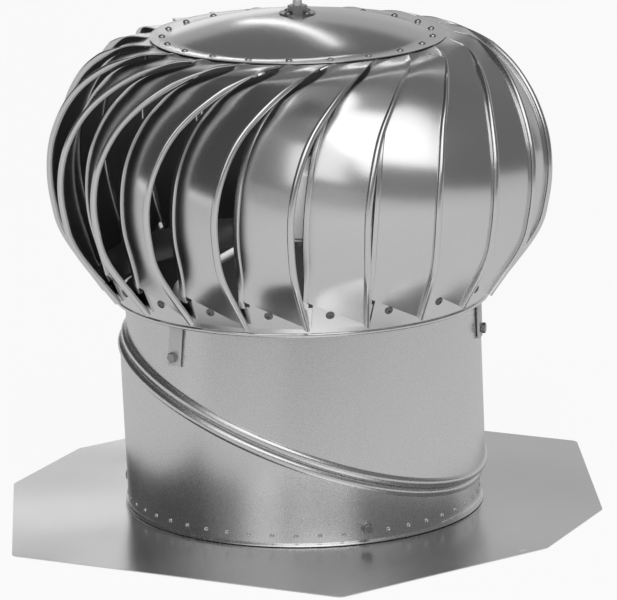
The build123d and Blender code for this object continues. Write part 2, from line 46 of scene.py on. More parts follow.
# sheet and throat
sheet = 0.8
throat_radius = 152.4
collar_radius = throat_radius + sheet
collar_foot = 1.4
collar_top = 190.0

# swivel seam
seam_height = 91.3
seam_angle = math.radians(21.5)
seam_low_azimuth = math.radians(12.7)
seam_radius = 165.0
seam_band = 9.0
upper_bead = 3.6
lower_bead = 3.2
bead_wall = 1.2
bead_middle = 4.6
lip_height = 0.4
running_gap = 0.5

# rotor
vane_count = 21
vane_pitch = math.tau / vane_count
first_vane_azimuth = math.radians(-73.9)
drum_radius_max = 213.5
drum_height = 297.0
drum_arc_upper = 123.6
drum_arc_lower = 140.0
foot_rivet_radius = 170.0
foot_rivet_height = 206.0
sheet_gap = 0.3
ring_flare = math.radians(25.0)
ring_low = 186.5
ring_high = 213.0
ring_bead = 2.2
ring_roll_start = math.radians(55.0)
ring_roll_sweep = math.radians(332.0)
rim_height = 410.0
rim_radius = 126.7
rim_inner_radius = 110.0
crown_height = 428.0
crown_radius = 18.0
dome_bulge = 3.0
crown_hole_radius = 4.05
rim_ease = 0.4
top_rivet_radius = 115.6
top_rivet_lead = math.radians(39.8)

# vane strip; each row: outer edge height and azimuth, inner edge height, radius and azimuth, in degrees
vane_stations = (
    (240.0, 8.5, 243.0, 184.5, -7.3),
    (270.0, 7.8, 270.0, 191.5, -7.4),
    (300.0, 7.9, 297.0, 194.0, -7.0),
    (330.0, 9.4, 324.0, 192.0, -6.1),
    (360.0, 12.8, 350.0, 184.0, -4.4),
    (385.0, 19.5, 373.0, 172.5, -1.0),
    (405.0, 30.2, 394.0, 156.0, 6.0),
)
foot_outer = (33.0, -13.5)
foot_inner = (-24.0, 16.6)
foot_left = -15.0
outer_hem = 3.0
outer_hem_inset = 2.2
outer_hem_lift = 1.2
inner_hem_width = 5.0
inner_hem_thickness = 1.5
inner_hem_rounding = 0.4
crimped_half = 0.55 * sheet
vane_camber = 1.2
hem_drop = 8.0
web_points = 8
bead_points = 14
span_steps = 8
hem_stop = 8
hem_taper = 5
tab_lead_outer = math.radians(38.9)
tab_lead_inner = math.radians(22.9)
tab_inner_radius = 107.0
tab_shear = math.radians(6.0)

# fasteners
foot_rivet_head = 3.7
top_rivet_head = 3.0
rivet_dome = 1.6
mandrel_radius = 0.9
mandrel_depth = 0.9
foot_screw_height = 14.5
foot_screw_azimuth = math.radians(-45.0)
foot_screw_seat = 0.8
foot_screw_count = 3
foot_screw_flats = 7.2
foot_screw_head = 4.0
foot_screw_washer = 5.0
foot_screw_washer_rise = 1.0
leg_azimuths = [math.radians(angle) for angle in (-107.2, 12.8, 132.8)]
leg_bolt_height = 158.5
leg_gap = 0.5
leg_foot_thickness = 2.4
leg_bolt_seat = 0.7
leg_bolt_flats = 8.0
leg_bolt_head = 3.5
leg_bolt_washer = 4.4
leg_bolt_washer_rise = 0.6
dimple_height = 11.0
dimple_count = 48
dimple_profile = ((0.01, 0.1), (0.7, 0.2), (1.2, 0.75), (1.6, 0.7), (2.0, 0.1), (2.0, -0.3), (0.01, -0.3))
hub_rivet_count = 4
hub_rivet_radius = 11.5
hub_rivet_lead = math.radians(-19.6)
washer_height = 1.2

# photograph's camera
photo_width = 617
photo_height = 600
camera_distance = 4300.0
camera_azimuth = math.radians(25.4)
camera_elevation = math.radians(13.595)
camera_focal_pixels = 4996.68
camera_roll = math.radians(-0.858)
aim_height = 210.0
aim_pixel = (301.767, 262.405)

# meshes
smooth_angle = math.radians(35)
collar_steps = 240
lathe_steps = 240

# finishes: patterns in spots per metre, and the sheet is polished outside and duller inside, where its
# colour is also darkened as painted shade
cloud_scale = 14.0
speck_scale = 900.0
speck_relief = 0.05
mottle_dulling = 1.2
# painted shade: how much the colour of the sheet's inner side is darkened
inside_painted_shade = 0.7
inside_dulling = 0.25

# studio in metres, its angles in degrees from the camera's own azimuth
floor_reach = 6.0
floor_tone = 0.85
floor_glow_seen = 0.93
floor_glow_mirrored = 0.45
world_ambient = 0.3
studio_centre = Vector((0, 0, 0.25))
flag_distance = 3.0


# shader expressions

class Value:
    """A shader socket that takes part in Python arithmetic."""

    def __init__(self, finish, socket):
        self.finish = finish
        self.socket = socket

    def _math(self, operation, first, second):
        return self.finish.node("ShaderNodeMath", {"operation": operation}, {0: first, 1: second})

    def __add__(self, other):
        return self._math("ADD", self, other)

    def __radd__(self, other):
        return self._math("ADD", other, self)

    def __sub__(self, other):
        return self._math("SUBTRACT", self, other)

    def __rsub__(self, other):
        return self._math("SUBTRACT", other, self)

    def __mul__(self, other):
        return self._math("MULTIPLY", self, other)

    def __rmul__(self, other):
        return self._math("MULTIPLY", other, self)


class Finish:
    """A material or world tree whose nodes are made through one method."""

    def __init__(self, owner):
        owner.use_nodes = True
        self.tree = owner.node_tree
        self.tree.nodes.clear()

    def node(self, kind, settings=None, inputs=None, output=0):
        """Add a node, set its properties, set or link its sockets and return an output as a Value."""
        made = self.tree.nodes.new(kind)
        for key, setting in (settings or {}).items():
            setattr(made, key, setting)
        for key, given in (inputs or {}).items():
            if isinstance(given, Value):
                self.tree.links.new(given.socket, made.inputs[key])
            else:
                made.inputs[key].default_value = given
        return Value(self, made.outputs[output]) if made.outputs else None

    def noise(self, where, scale, detail=3.0, roughness=0.5):
        """Return a noise value centred on zero."""
        settings = {"noise_dimensions": "3D"}
        inputs = {"Vector": where, "Scale": scale, "Detail": detail, "Roughness": roughness}
        return self.node("ShaderNodeTexNoise", settings, inputs) - 0.5

    def grey(self, level):
        """Return a grey colour from a value."""
        return self.node("ShaderNodeCombineColor", None, {0: level, 1: level, 2: level})


def sheet_metal(name, tone, roughness, mottle, grain, wave=0.0, swell=9.0, metallic=1.0):
    """Mill finish sheet: soft mottling, fine grain and slight waviness, all in the object's own space."""
    material = bpy.data.materials.new(name)
    finish = Finish(material)
    place = finish.node("ShaderNodeTexCoord", None, None, "Object")
    cloud = finish.noise(place, cloud_scale, 4.0)
    speck = finish.noise(place, speck_scale, 2.0)
    ripple = finish.noise(place, swell, 0.0)
    inside = finish.node("ShaderNodeAttribute", {"attribute_name": "inside"}, None, "Fac")
    # the inner side's colour is darkened here as painted shade
    level = (tone + cloud * mottle + speck * grain) * (1.0 - inside * inside_painted_shade)
    rough = roughness + cloud * (mottle * mottle_dulling) + speck * grain + inside * inside_dulling
    relief = ripple * wave + speck * (grain * speck_relief)
    bumped = finish.node("ShaderNodeBump", None, {"Strength": 1.0, "Distance": MM, "Height": relief})
    shader = finish.node(
        "ShaderNodeBsdfPrincipled",
        None,
        {"Base Color": finish.grey(level), "Metallic": metallic, "Roughness": rough, "Normal": bumped},
    )
    finish.node("ShaderNodeOutputMaterial", None, {"Surface": shader})
    return material


def polymer(name, tone):
    """Plain moulded polymer with a faint surface grain."""
    material = bpy.data.materials.new(name)
    finish = Finish(material)
    place = finish.node("ShaderNodeTexCoord", None, None, "Object")
    speck = finish.noise(place, 700.0, 2.0)
    surface = {"Base Color": finish.grey(tone + speck * 0.05), "Roughness": 0.55 + speck * 0.1}
    shader = finish.node("ShaderNodeBsdfPrincipled", None, surface)
    finish.node("ShaderNodeOutputMaterial", None, {"Surface": shader})
    return material


flashing_metal = sheet_metal("flashing_sheet", 0.72, 0.22, mottle=0.12, grain=0.10, wave=10.0, swell=4.5)
collar_metal = sheet_metal("collar_sheet", 0.72, 0.28, mottle=0.06, grain=0.13, wave=0.2)
rotor_metal = sheet_metal("rotor_sheet", 0.72, 0.21, mottle=0.06, grain=0.10, wave=0.3)
plate_metal = sheet_metal("plate_sheet", 0.62, 0.17, mottle=0.06, grain=0.12, wave=0.05)
rivet_metal = sheet_metal("rivet", 0.20, 0.40, mottle=0.10, grain=0.05)
steel = sheet_metal("galvanised_steel", 0.85, 0.40, mottle=0.12, grain=0.05, wave=0.1, metallic=0.3)
zinc = sheet_metal("zinc_plate", 0.38, 0.32, mottle=0.08, grain=0.05)
bearing_polymer = polymer("bearing_polymer", 0.8)


# shape helpers

def polar(radius, azimuth, height):
    """Return the point at a radius, azimuth and height."""
    return Vector((radius * math.cos(azimuth), radius * math.sin(azimuth), height))


def mesh_object(name, points, faces, inside=()):
    """Make a closed mesh object from millimetre points, its faces turned outward and shaded smooth.

    Faces numbered in inside carry the attribute that dulls the sheet's inner side and darkens its colour
    with painted shade.
    """
    mesh = bpy.data.meshes.new(name)
    mesh.from_pydata([tuple(point * MM) for point in points], [], faces)
    work = bmesh.new()
    work.from_mesh(mesh)
    bmesh.ops.recalc_face_normals(work, faces=work.faces)
    work.to_mesh(mesh)
    work.free()
    mesh.shade_smooth()
    mesh.set_sharp_from_angle(angle=smooth_angle)
    dull_and_painted_shade = mesh.attributes.new("inside", "FLOAT", "FACE")
    for number in inside:
        dull_and_painted_shade.data[number].value = 1.0
    made = bpy.data.objects.new(name, mesh)
    bpy.context.collection.objects.link(made)
    return made


def ring_faces(ring_count, size, closed):
    """Return the quads between neighbouring rings of points, first to last again where closed."""
    faces = []
    for ring in range(ring_count if closed else ring_count - 1):
        near = ring * size
        far = (ring + 1) % ring_count * size
        for k in range(size):
            after = (k + 1) % size
            faces.append((near + k, near + after, far + after, far + k))
    return faces


def lathe(name, profile, steps, inside_from=None):
    """Turn a closed profile of radius and height about the vertical axis.

    The profile is inside the sheet from the numbered point on.
    """
    points = []
    for step in range(steps):
        turn = math.tau * step / steps
        points += [polar(radius, turn, height) for radius, height in profile]
    faces = ring_faces(steps, len(profile), True)
    start = len(profile) if inside_from is None else inside_from
    inside = [number for number in range(len(faces)) if number % len(profile) >= start]
    return mesh_object(name, points, faces, inside)


def stack(name, rings, inside):
    """Join rings of points into a wall that closes on itself, its inside between two ring numbers."""
    points = [point for ring in rings for point in ring]
    size = len(rings[0])
    dull_and_painted_shade = range(inside[0] * size, inside[1] * size)
    return mesh_object(name, points, ring_faces(len(rings), size, True), dull_and_painted_shade)


def arc_through(start, middle, end, count):
    """Return points on the circular arc through three points of a profile."""
    a, b, c = (Vector(point) for point in (start, middle, end))
    cross = (b - a).x * (c - a).y - (b - a).y * (c - a).x
    b2, c2 = (b - a).length_squared, (c - a).length_squared
    centre = a + Vector(((c - a).y * b2 - (b - a).y * c2, (b - a).x * c2 - (c - a).x * b2)) / (2 * cross)
    first = math.atan2(*(a - centre).yx)
    sweep = (math.atan2(*(c - centre).yx) - first) % math.tau
    if cross < 0:
        sweep -= math.tau
    radius = (a - centre).length
    turns = [first + sweep * k / count for k in range(count + 1)]
    return [(centre.x + radius * math.cos(turn), centre.y + radius * math.sin(turn)) for turn in turns]


def dress(made, material, body, slot, *nodes):
    """Give a finished piece its material, body and the solids it stands for; the slot argument is not used.
    """
    made.data.materials.clear()
    made.data.materials.append(material)
    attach(made, body)
    if nodes:
        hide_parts(*nodes)


# geometry node trees

class Tree:
    """A geometry node tree with named inputs."""

    def __init__(self, name, inputs):
        self.group = bpy.data.node_groups.new(name, "GeometryNodeTree")
        self.group.interface.new_socket("Geometry", in_out="INPUT", socket_type="NodeSocketGeometry")
        self.names = {}
        for label, kind in inputs.items():
            socket = self.group.interface.new_socket(label, in_out="INPUT", socket_type=kind)
            self.names[label] = socket.identifier
        self.group.interface.new_socket("Geometry", in_out="OUTPUT", socket_type="NodeSocketGeometry")
        self.given = self.group.nodes.new("NodeGroupInput").outputs

    def node(self, kind, settings=None, inputs=None, output=0):
        """Add a node, set its properties, set or link its sockets and return one of its outputs."""
        made = self.group.nodes.new(kind)
        for key, setting in (settings or {}).items():
            setattr(made, key, setting)
        for key, value in (inputs or {}).items():
            if isinstance(value, bpy.types.NodeSocket):
                self.group.links.new(value, made.inputs[key])
            else:
                made.inputs[key].default_value = value
        return made.outputs[output] if made.outputs else None

    def close(self, instances):
        """End the tree in realised geometry with its finish."""
        real = self.node("GeometryNodeRealizeInstances", None, {0: instances})
        inputs = {"Geometry": real, "Material": self.given["Finish"]}
        finished = self.node("GeometryNodeSetMaterial", None, inputs)
        self.node("NodeGroupOutput", None, {0: finished})

    def grow(self, name, source, values):
        """Run the tree on an object and return the result as a plain mesh object."""
        modifier = source.modifiers.new(name, "NODES")
        modifier.node_group = self.group
        for label, value in values.items():
            modifier[self.names[label]] = value
        evaluated = source.evaluated_get(bpy.context.evaluated_depsgraph_get())
        mesh = bpy.data.meshes.new_from_object(evaluated)
        bpy.data.objects.remove(source)
        mesh.name = name
        made = bpy.data.objects.new(name, mesh)
        bpy.context.collection.objects.link(made)
        return made


def turned_tree():
    """Copies of a piece turned evenly about the vertical axis."""
    inputs = {
        "Count": "NodeSocketInt",
        "Pitch": "NodeSocketFloat",
        "Start": "NodeSocketFloat",
        "Finish": "NodeSocketMaterial",
    }
    tree = Tree("turned_copies", inputs)
    points = tree.node("GeometryNodePoints", None, {"Count": tree.given["Count"]})
    index = tree.node("GeometryNodeInputIndex")
    step = tree.node("ShaderNodeMath", {"operation": "MULTIPLY"}, {0: index, 1: tree.given["Pitch"]})
    turn = tree.node("ShaderNodeMath", {"operation": "ADD"}, {0: step, 1: tree.given["Start"]})
    euler = tree.node("ShaderNodeCombineXYZ", None, {"Z": turn})
    copies = {"Points": points, "Instance": tree.given["Geometry"], "Rotation": euler}
    tree.close(tree.node("GeometryNodeInstanceOnPoints", None, copies))
    return tree


def stud_tree():
    """A stud on each point, its axis along the point's own facing direction."""
    inputs = {"Stud": "NodeSocketObject", "Size": "NodeSocketFloat", "Finish": "NodeSocketMaterial"}
    tree = Tree("studs_on_points", inputs)
    stud = tree.node("GeometryNodeObjectInfo", None, {"Object": tree.given["Stud"]}, "Geometry")
    vector = {"data_type": "FLOAT_VECTOR"}
    facing = tree.node("GeometryNodeInputNamedAttribute", vector, {"Name": "facing"})
    turn = tree.node("FunctionNodeAlignRotationToVector", {"axis": "Z"}, {"Vector": facing})
    copies = {
        "Points": tree.given["Geometry"],
        "Instance": stud,
        "Rotation": turn,
        "Scale": tree.given["Size"],
    }
    tree.close(tree.node("GeometryNodeInstanceOnPoints", None, copies))
    return tree


turned_copies = turned_tree()
studs_on_points = stud_tree()


def studs(name, stud, seats, material, size=1.0):
    """Set a stud on each seat, a pair of place and facing direction."""
    mesh = bpy.data.meshes.new(name)
    mesh.from_pydata([tuple(place * MM) for place, facing in seats], [], [])
    attribute = mesh.attributes.new("facing", "FLOAT_VECTOR", "POINT")
    for entry, (place, facing) in zip(attribute.data, seats):
        entry.vector = facing
    source = bpy.data.objects.new(name, mesh)
    bpy.context.collection.objects.link(source)
    made = studs_on_points.grow(name, source, {"Stud": stud, "Size": size, "Finish": material})
    bpy.data.objects.remove(stud)
    return made


# collars

seam_normal = Vector((
    math.sin(seam_angle) * math.cos(seam_low_azimuth),
    math.sin(seam_angle) * math.sin(seam_low_azimuth),
    math.cos(seam_angle),
))
seam_down = Vector((
    math.cos(seam_angle) * math.cos(seam_low_azimuth),
    math.cos(seam_angle) * math.sin(seam_low_azimuth),
    -math.sin(seam_angle),
))
seam_level = seam_normal.cross(seam_down)
foot_lip = ((2.2, 0.0), (2.4, 0.5), (2.0, 1.2), (1.0, 1.7), (0.2, 2.6))


def seam_ring(radius, lift):
    """Return the ring at a radius and lift in the seam's own tilted frame."""
    centre = Vector((0, 0, seam_height)) + seam_normal * lift
    turns = [math.tau * step / collar_steps for step in range(collar_steps)]
    return [centre + (seam_down * math.cos(turn) + seam_level * math.sin(turn)) * radius for turn in turns]


def level_ring(radius, height):
    """Return the level ring whose points pair with the seam's."""
    turns = [math.tau * step / collar_steps for step in range(collar_steps)]
    return [polar(radius, seam_low_azimuth + turn, height) for turn in turns]


def between(first, second, share):
    """Return the ring part of the way between two rings."""
    return [a.lerp(b, share) for a, b in zip(first, second)]


def wall_rings(level, seam, count=6):
    """Return the rings of a straight wall from a level ring up to the seam's ring."""
    return [between(level, seam, k / count) for k in range(count + 1)]


def collar_wall(azimuth, height, end, band):
    """Return a collar's outer radius at an azimuth and height, found along its straight rulings."""
    level = level_ring(collar_radius, end)
    seam = seam_ring(seam_radius, band)
    best = None
    for low, high in zip(level, seam):
        point = low.lerp(high, (height - end) / (high.z - end))
        miss = abs((math.atan2(point.y, point.x) - azimuth + math.pi) % math.tau - math.pi)
        if best is None or miss < best[0]:
            best = (miss, math.hypot(point.x, point.y))
    return best[1]


def build_lower_collar():
    """Lower collar: wall, bead, and the tongue that the upper collar rides on."""
    tongue = seam_radius - sheet + running_gap
    tongue_top = seam_band - 2 * running_gap
    crest = seam_radius + upper_bead - bead_wall - running_gap
    tongue_end = tongue - 2 * running_gap
    lip = (seam_radius + lip_height, -2 * lip_height)
    outer = arc_through((seam_radius, -seam_band), (seam_radius + lower_bead, -bead_middle), lip, 10)
    outer += [(tongue, -lip_height), (tongue, lip_height)]
    outer += arc_through((tongue, lip_height), (crest, bead_middle), (tongue_end, tongue_top), 6)[1:]
    under = (crest - bead_wall, bead_middle)
    inner = arc_through((tongue_end - sheet, tongue_top), under, (tongue - sheet, lip_height), 6)
    inner += [(tongue - sheet, -lip_height - sheet), (seam_radius - sheet, -seam_band)]
    wall = wall_rings(level_ring(collar_radius, collar_foot), seam_ring(seam_radius, -seam_band))[1:-1]
    rings = [level_ring(collar_radius + reach, collar_foot + rise) for reach, rise in foot_lip] + wall
    rings += [seam_ring(radius, lift) for radius, lift in outer]
    turned = len(rings)
    rings += [seam_ring(radius, lift) for radius, lift in inner]
    inner_seam = seam_ring(seam_radius - sheet, -seam_band)
    rings += wall_rings(inner_seam, level_ring(throat_radius, collar_foot))[1:]
    made = stack("lower_collar_wall", rings, (turned, len(rings) - 1))
    dress(made, collar_metal, "base", "collar_sheet", "lower_collar")


def build_upper_collar():
    """Upper collar: the bead over the tongue and the wall up into the rotor."""
    lip = seam_radius - sheet + 2 * running_gap
    crest = seam_radius + upper_bead
    under = (crest - bead_wall, bead_middle)
    inner = arc_through((seam_radius - sheet, seam_band), under, (lip, lip_height), 6)
    outer = arc_through((lip + sheet, lip_height), (crest, bead_middle), (seam_radius, seam_band), 10)
    rings = wall_rings(seam_ring(seam_radius, seam_band), level_ring(collar_radius, collar_top))
    turned = len(rings)
    inner_seam = seam_ring(seam_radius - sheet, seam_band)
    rings += wall_rings(level_ring(throat_radius, collar_top), inner_seam)[:-1]
    rings += [seam_ring(radius, lift) for radius, lift in inner]
    bead = len(rings)
    rings += [seam_ring(radius, lift) for radius, lift in outer[:-1]]
    made = stack("upper_collar_wall", rings, (turned, bead - 1))
    dress(made, collar_metal, "neck", "collar_sheet", "upper_collar")


build_lower_collar()
build_upper_collar()


# rotor sheet

def drum_radius(height):
    """Return the rotor envelope's radius at a height."""
    arc = drum_arc_upper if height > drum_height else drum_arc_lower
    return drum_radius_max - arc + math.sqrt(arc**2 - (height - drum_height) ** 2)


foot_out = Vector((math.cos(ring_flare), 0, -math.sin(ring_flare)))
foot_up = Vector((math.sin(ring_flare), 0, math.cos(ring_flare)))
foot_side = Vector((0, 1, 0))


def foot_point(across, along, lift=0.0):
    """Return a point on the flat foot of the vane at azimuth zero."""
    seat = polar(foot_rivet_radius, 0, foot_rivet_height) + foot_out * (sheet_gap + sheet / 2 + lift)
    return seat + foot_side * across + foot_up * along


def smooth_line(points, count):
    """Return evenly numbered points on a smooth curve through the given ones."""
    tangents = []
    for k in range(len(points)):
        low, high = max(k - 1, 0), min(k + 1, len(points) - 1)
        tangents.append((points[high] - points[low]) / (high - low))
    line = []
    for step in range(count + 1):
        span = min(step * (len(points) - 1) / count, len(points) - 1.000001)
        k = int(span)
        t = span - k
        line.append(
            points[k] * (2 * t**3 - 3 * t**2 + 1)
            + tangents[k] * (t**3 - 2 * t**2 + t)
            + points[k + 1] * (3 * t**2 - 2 * t**3)
            + tangents[k + 1] * (t**3 - t**2)
        )
    return line


def strip_section(pair, outward, hem, lift, fold, camber):
    """Return the strip's cross-section between its edges: outer bead, sheet and inner fold."""
    across = (pair[1] - pair[0]).normalized()
    out = (outward - across * outward.dot(across)).normalized()
    width = (pair[1] - pair[0]).length
    half = sheet / 2
    inset = hem * outer_hem_inset / outer_hem
    over = math.atan2(half - lift, math.sqrt(hem**2 - (half - lift) ** 2))
    under = math.atan2(-half - lift, math.sqrt(hem**2 - (half + lift) ** 2))
    bead = [under + (over - math.tau - under) * k / bead_points for k in range(bead_points + 1)]
    flat = [(inset + hem * math.cos(turn), lift + hem * math.sin(turn)) for turn in bead]
    web = [k / (web_points + 1) for k in range(1, web_points + 1)]
    start, end = flat[-1][0], width - inner_hem_width
    bulge = [camber * 4 * share * (1 - share) for share in web]
    flat += [(start + (end - start) * share, half + rise) for share, rise in zip(web, bulge)]
    edge = fold * inner_hem_rounding
    flat += [(end, half), (end, fold - edge), (end + edge, fold), (width - edge, fold)]
    flat += [(width, fold - edge), (width, -fold + edge), (width - edge, -fold), (end + edge, -fold)]
    flat += [(end, -fold + edge), (end, -half)]
    flat += [(start + (end - start) * (1 - share), -half + rise) for share, rise in zip(web, bulge)]
    return [pair[0] + across * x + out * y for x, y in flat]


def build_vanes():
    """Vanes: one strip with its foot and tab, then the rest turned about the spindle."""
    edges = [(foot_point(*foot_outer), foot_point(*foot_inner))]
    for outer_height, outer_azimuth, inner_height, inner_radius, inner_azimuth in vane_stations:
        outer = polar(drum_radius(outer_height), math.radians(outer_azimuth), outer_height)
        edges.append((outer, polar(inner_radius, math.radians(inner_azimuth), inner_height)))
    tab_height = rim_height - sheet - sheet_gap - sheet / 2
    rim_pair = (polar(rim_radius, tab_lead_outer, tab_height), polar(rim_radius, tab_lead_inner, tab_height))
    tab_pair = (
        polar(tab_inner_radius, tab_lead_outer + tab_shear, tab_height),
        polar(tab_inner_radius, tab_lead_inner + tab_shear, tab_height),
    )
    edges.append(rim_pair)
    count = span_steps * (len(edges) - 1)
    outer_line = smooth_line([pair[0] for pair in edges], count)
    inner_line = smooth_line([pair[1] for pair in edges], count)
    stations = list(zip(outer_line, inner_line))
    fold = sheet / 2 + inner_hem_thickness
    sections = [strip_section(stations[0], foot_out, outer_hem, outer_hem_lift, fold, 0.0)]
    neighbours = zip(stations, stations[1:], stations[2:] + [tab_pair])
    for step, (before, here, after) in enumerate(neighbours, 1):
        along = after[0] + after[1] - before[0] - before[1]
        camber = vane_camber * math.sin(math.pi * step / count) ** 0.5
        full = min(1.0, max(0.0, (count - step - hem_stop) / hem_taper))
        hem = crimped_half + (outer_hem - crimped_half) * full
        crimp = crimped_half + (fold - crimped_half) * full
        outward = along.cross(here[1] - here[0])
        sections.append(strip_section(here, outward, hem, outer_hem_lift * full, crimp, camber))
    sections.append(strip_section(tab_pair, Vector((0, 0, 1)), crimped_half, 0.0, crimped_half, 0.0))
    size = len(sections[0])
    points = [point for section in sections for point in section]
    faces = ring_faces(len(sections), size, False)
    faces += [tuple(range(size)), tuple(range(len(points) - size, len(points)))]
    slope = (foot_inner[1] - foot_outer[1]) / (foot_inner[0] - foot_outer[0])
    corner = (foot_left, foot_outer[1] + slope * (foot_left - foot_outer[0]))
    base = len(points)
    for lift in (-sheet / 2, sheet / 2):
        points += [foot_point(*place, lift) for place in ((foot_left, foot_outer[1]), foot_outer, corner)]
    faces += [(base, base + 1, base + 2), (base + 3, base + 4, base + 5)]
    faces += [(base + k, base + (k + 1) % 3, base + 3 + (k + 1) % 3, base + 3 + k) for k in range(3)]
    hem_corner = (foot_inner[0] + inner_hem_width, foot_inner[1] + slope * inner_hem_width)
    base = len(points)
    for lift in (-fold, fold):
        low = foot_inner[1] - hem_drop
        ends = (foot_inner, hem_corner, (hem_corner[0], low), (foot_inner[0], low))
        points += [foot_point(*place, lift) for place in ends]
    faces += [(base, base + 1, base + 2, base + 3), (base + 4, base + 5, base + 6, base + 7)]
    faces += [(base + k, base + (k + 1) % 4, base + 4 + (k + 1) % 4, base + 4 + k) for k in range(4)]
    # faces on the strip's inner side, dulled and darkened with painted shade
    web_from = size - web_points - 1
    inside = [number for number in range((len(sections) - 1) * size) if number % size >= web_from]
    strip = mesh_object("vane_strip", points, faces, inside)
    values = {"Count": vane_count, "Pitch": vane_pitch, "Start": first_vane_azimuth, "Finish": rotor_metal}
    vanes = turned_copies.grow("vanes", strip, values)
    nodes = [f"vane_{number:02d}" for number in range(1, vane_count + 1)]
    dress(vanes, rotor_metal, "rotor", "rotor_sheet", *nodes)


def build_bottom_ring():
    """Bottom ring: flared band with a rolled lower edge."""
    flare = math.tan(ring_flare)
    wall = sheet / math.cos(ring_flare)
    low = foot_rivet_radius + (ring_low - foot_rivet_height) * flare
    high = foot_rivet_radius + (ring_high - foot_rivet_height) * flare
    middle = low - wall / 2
    count = 18
    turns = [ring_roll_start - ring_roll_sweep * k / count for k in range(count + 1)]
    bead = [(middle + ring_bead * math.cos(turn), ring_low + ring_bead * math.sin(turn)) for turn in turns]
    profile = bead + [(high - wall, ring_high), (high, ring_high)]
    made = lathe("bottom_ring_band", profile, lathe_steps)
    dress(made, rotor_metal, "rotor", "rotor_sheet", "bottom_ring")


def build_top_plate():
    """Top plate: flat crown, shallow dome and flat rim with an eased edge."""
    middle = ((crown_radius + rim_inner_radius) / 2, (crown_height + rim_height) / 2 + dome_bulge)
    top = [(crown_hole_radius, crown_height)]
    top += arc_through((crown_radius, crown_height), middle, (rim_inner_radius, rim_height), 24)
    top += [(rim_radius - rim_ease, rim_height), (rim_radius, rim_height - rim_ease)]
    under = [(radius, height - sheet) for radius, height in reversed(top[:-1])]
    made = lathe("top_plate_sheet", top + under, lathe_steps, len(top))
    dress(made, plate_metal, "rotor", "rotor_sheet", "top_plate")


build_vanes()
build_bottom_ring()
build_top_plate()


# fasteners

def rivet_stud(name, head):
    """A blind rivet's domed head with its mandrel hole."""
    rise = rivet_dome
    profile = [(0.01, rise - mandrel_depth), (mandrel_radius, rise - mandrel_depth)]
    profile += [(mandrel_radius, rise - 0.05), (mandrel_radius + 0.15, rise)]
    turns = (0.55, 0.8, 1.05, 1.3, 1.5)
    profile += [(head * math.sin(turn), rise * math.cos(turn) ** 0.8) for turn in turns]
    profile += [(head, 0.05), (0.01, 0.05)]
    return lathe(name, profile, 20)


def hex_stud(name, flats, height, washer, washer_rise):
    """A hex head with eased corners on a round washer face."""
    reach = flats / math.sqrt(3)
    ease = 0.08 * reach
    rings = []
    for radius, level in ((reach, washer_rise * 0.5), (reach, height - ease), (reach - ease * 1.6, height)):
        rings.append([polar(radius, math.tau * k / 6, level) for k in range(6)])
    points = [point for ring in rings for point in ring]
    faces = ring_faces(3, 6, False) + [tuple(range(6)), tuple(range(12, 18))]
    base = len(points)
    steps = 28
    for radius, level in ((washer, 0.0), (washer, washer_rise * 0.6), (washer * 0.92, washer_rise)):
        points += [polar(radius, math.tau * k / steps, level) for k in range(steps)]
    faces += [tuple(base + corner for corner in face) for face in ring_faces(3, steps, False)]
    faces += [tuple(range(base, base + steps)), tuple(range(base + 2 * steps, base + 3 * steps))]
    return mesh_object(name, points, faces)


def build_rivets():
    """Rivets round the ring, the rim and the crown."""
    seats = []
    for k in range(vane_count):
        turn = Matrix.Rotation(first_vane_azimuth + vane_pitch * k, 3, "Z")
        seats.append((turn @ foot_point(0, 0, sheet / 2), turn @ foot_out))
    made = studs("ring_rivets", rivet_stud("ring_rivet", foot_rivet_head), seats, rivet_metal)
    dress(made, rivet_metal, "rotor", "rivet", "bottom_rivets")
    up = Vector((0, 0, 1))
    lead = first_vane_azimuth + top_rivet_lead
    seats = [(polar(top_rivet_radius, lead + vane_pitch * k, rim_height), up) for k in range(vane_count)]
    made = studs("rim_rivets", rivet_stud("rim_rivet", top_rivet_head), seats, plate_metal)
    dress(made, plate_metal, "rotor", "rivet", "top_rivets")
    turns = [hub_rivet_lead + math.tau * k / hub_rivet_count for k in range(hub_rivet_count)]
    seats = [(polar(hub_rivet_radius, turn, crown_height + washer_height), up) for turn in turns]
    made = studs("crown_rivets", rivet_stud("crown_rivet", top_rivet_head), seats, zinc)
    dress(made, zinc, "rotor", "rivet", "hub_rivets")


def build_screws():
    """Hex screws at the collar's foot and bolts on the legs."""
    seats = []
    for k in range(foot_screw_count):
        azimuth = foot_screw_azimuth + math.tau * k / foot_screw_count
        radius = collar_wall(azimuth, foot_screw_height, collar_foot, -seam_band) + foot_screw_seat
        seats.append((polar(radius, azimuth, foot_screw_height), polar(1, azimuth, 0)))
    washer = (foot_screw_washer, foot_screw_washer_rise)
    head = hex_stud("foot_screw", foot_screw_flats, foot_screw_head, *washer)
    made = studs("foot_screw_heads", head, seats, zinc)
    dress(made, zinc, "base", "zinc", "foot_screws")
    seats = []
    stand = leg_gap + leg_foot_thickness + leg_bolt_seat
    for azimuth in leg_azimuths:
        radius = collar_wall(azimuth, leg_bolt_height, collar_top, seam_band) + stand
        seats.append((polar(radius, azimuth, leg_bolt_height), polar(1, azimuth, 0)))
    washer = (leg_bolt_washer, leg_bolt_washer_rise)
    head = hex_stud("leg_bolt", leg_bolt_flats, leg_bolt_head, *washer)
    made = studs("leg_bolt_heads", head, seats, zinc)
    dress(made, zinc, "neck", "zinc", "leg_bolts")


def build_dimples():
    """Crimp dimples round the collar's foot."""
    seats = []
    for k in range(dimple_count):
        azimuth = math.tau * k / dimple_count
        radius = collar_wall(azimuth, dimple_height, collar_foot, -seam_band)
        seats.append((polar(radius, azimuth, dimple_height), polar(1, azimuth, 0)))
    made = studs("foot_dimples", lathe("foot_dimple", dimple_profile, 14), seats, collar_metal)
    dress(made, collar_metal, "base", "collar_sheet")


build_rivets()
build_screws()
build_dimples()


# solids shown as they are

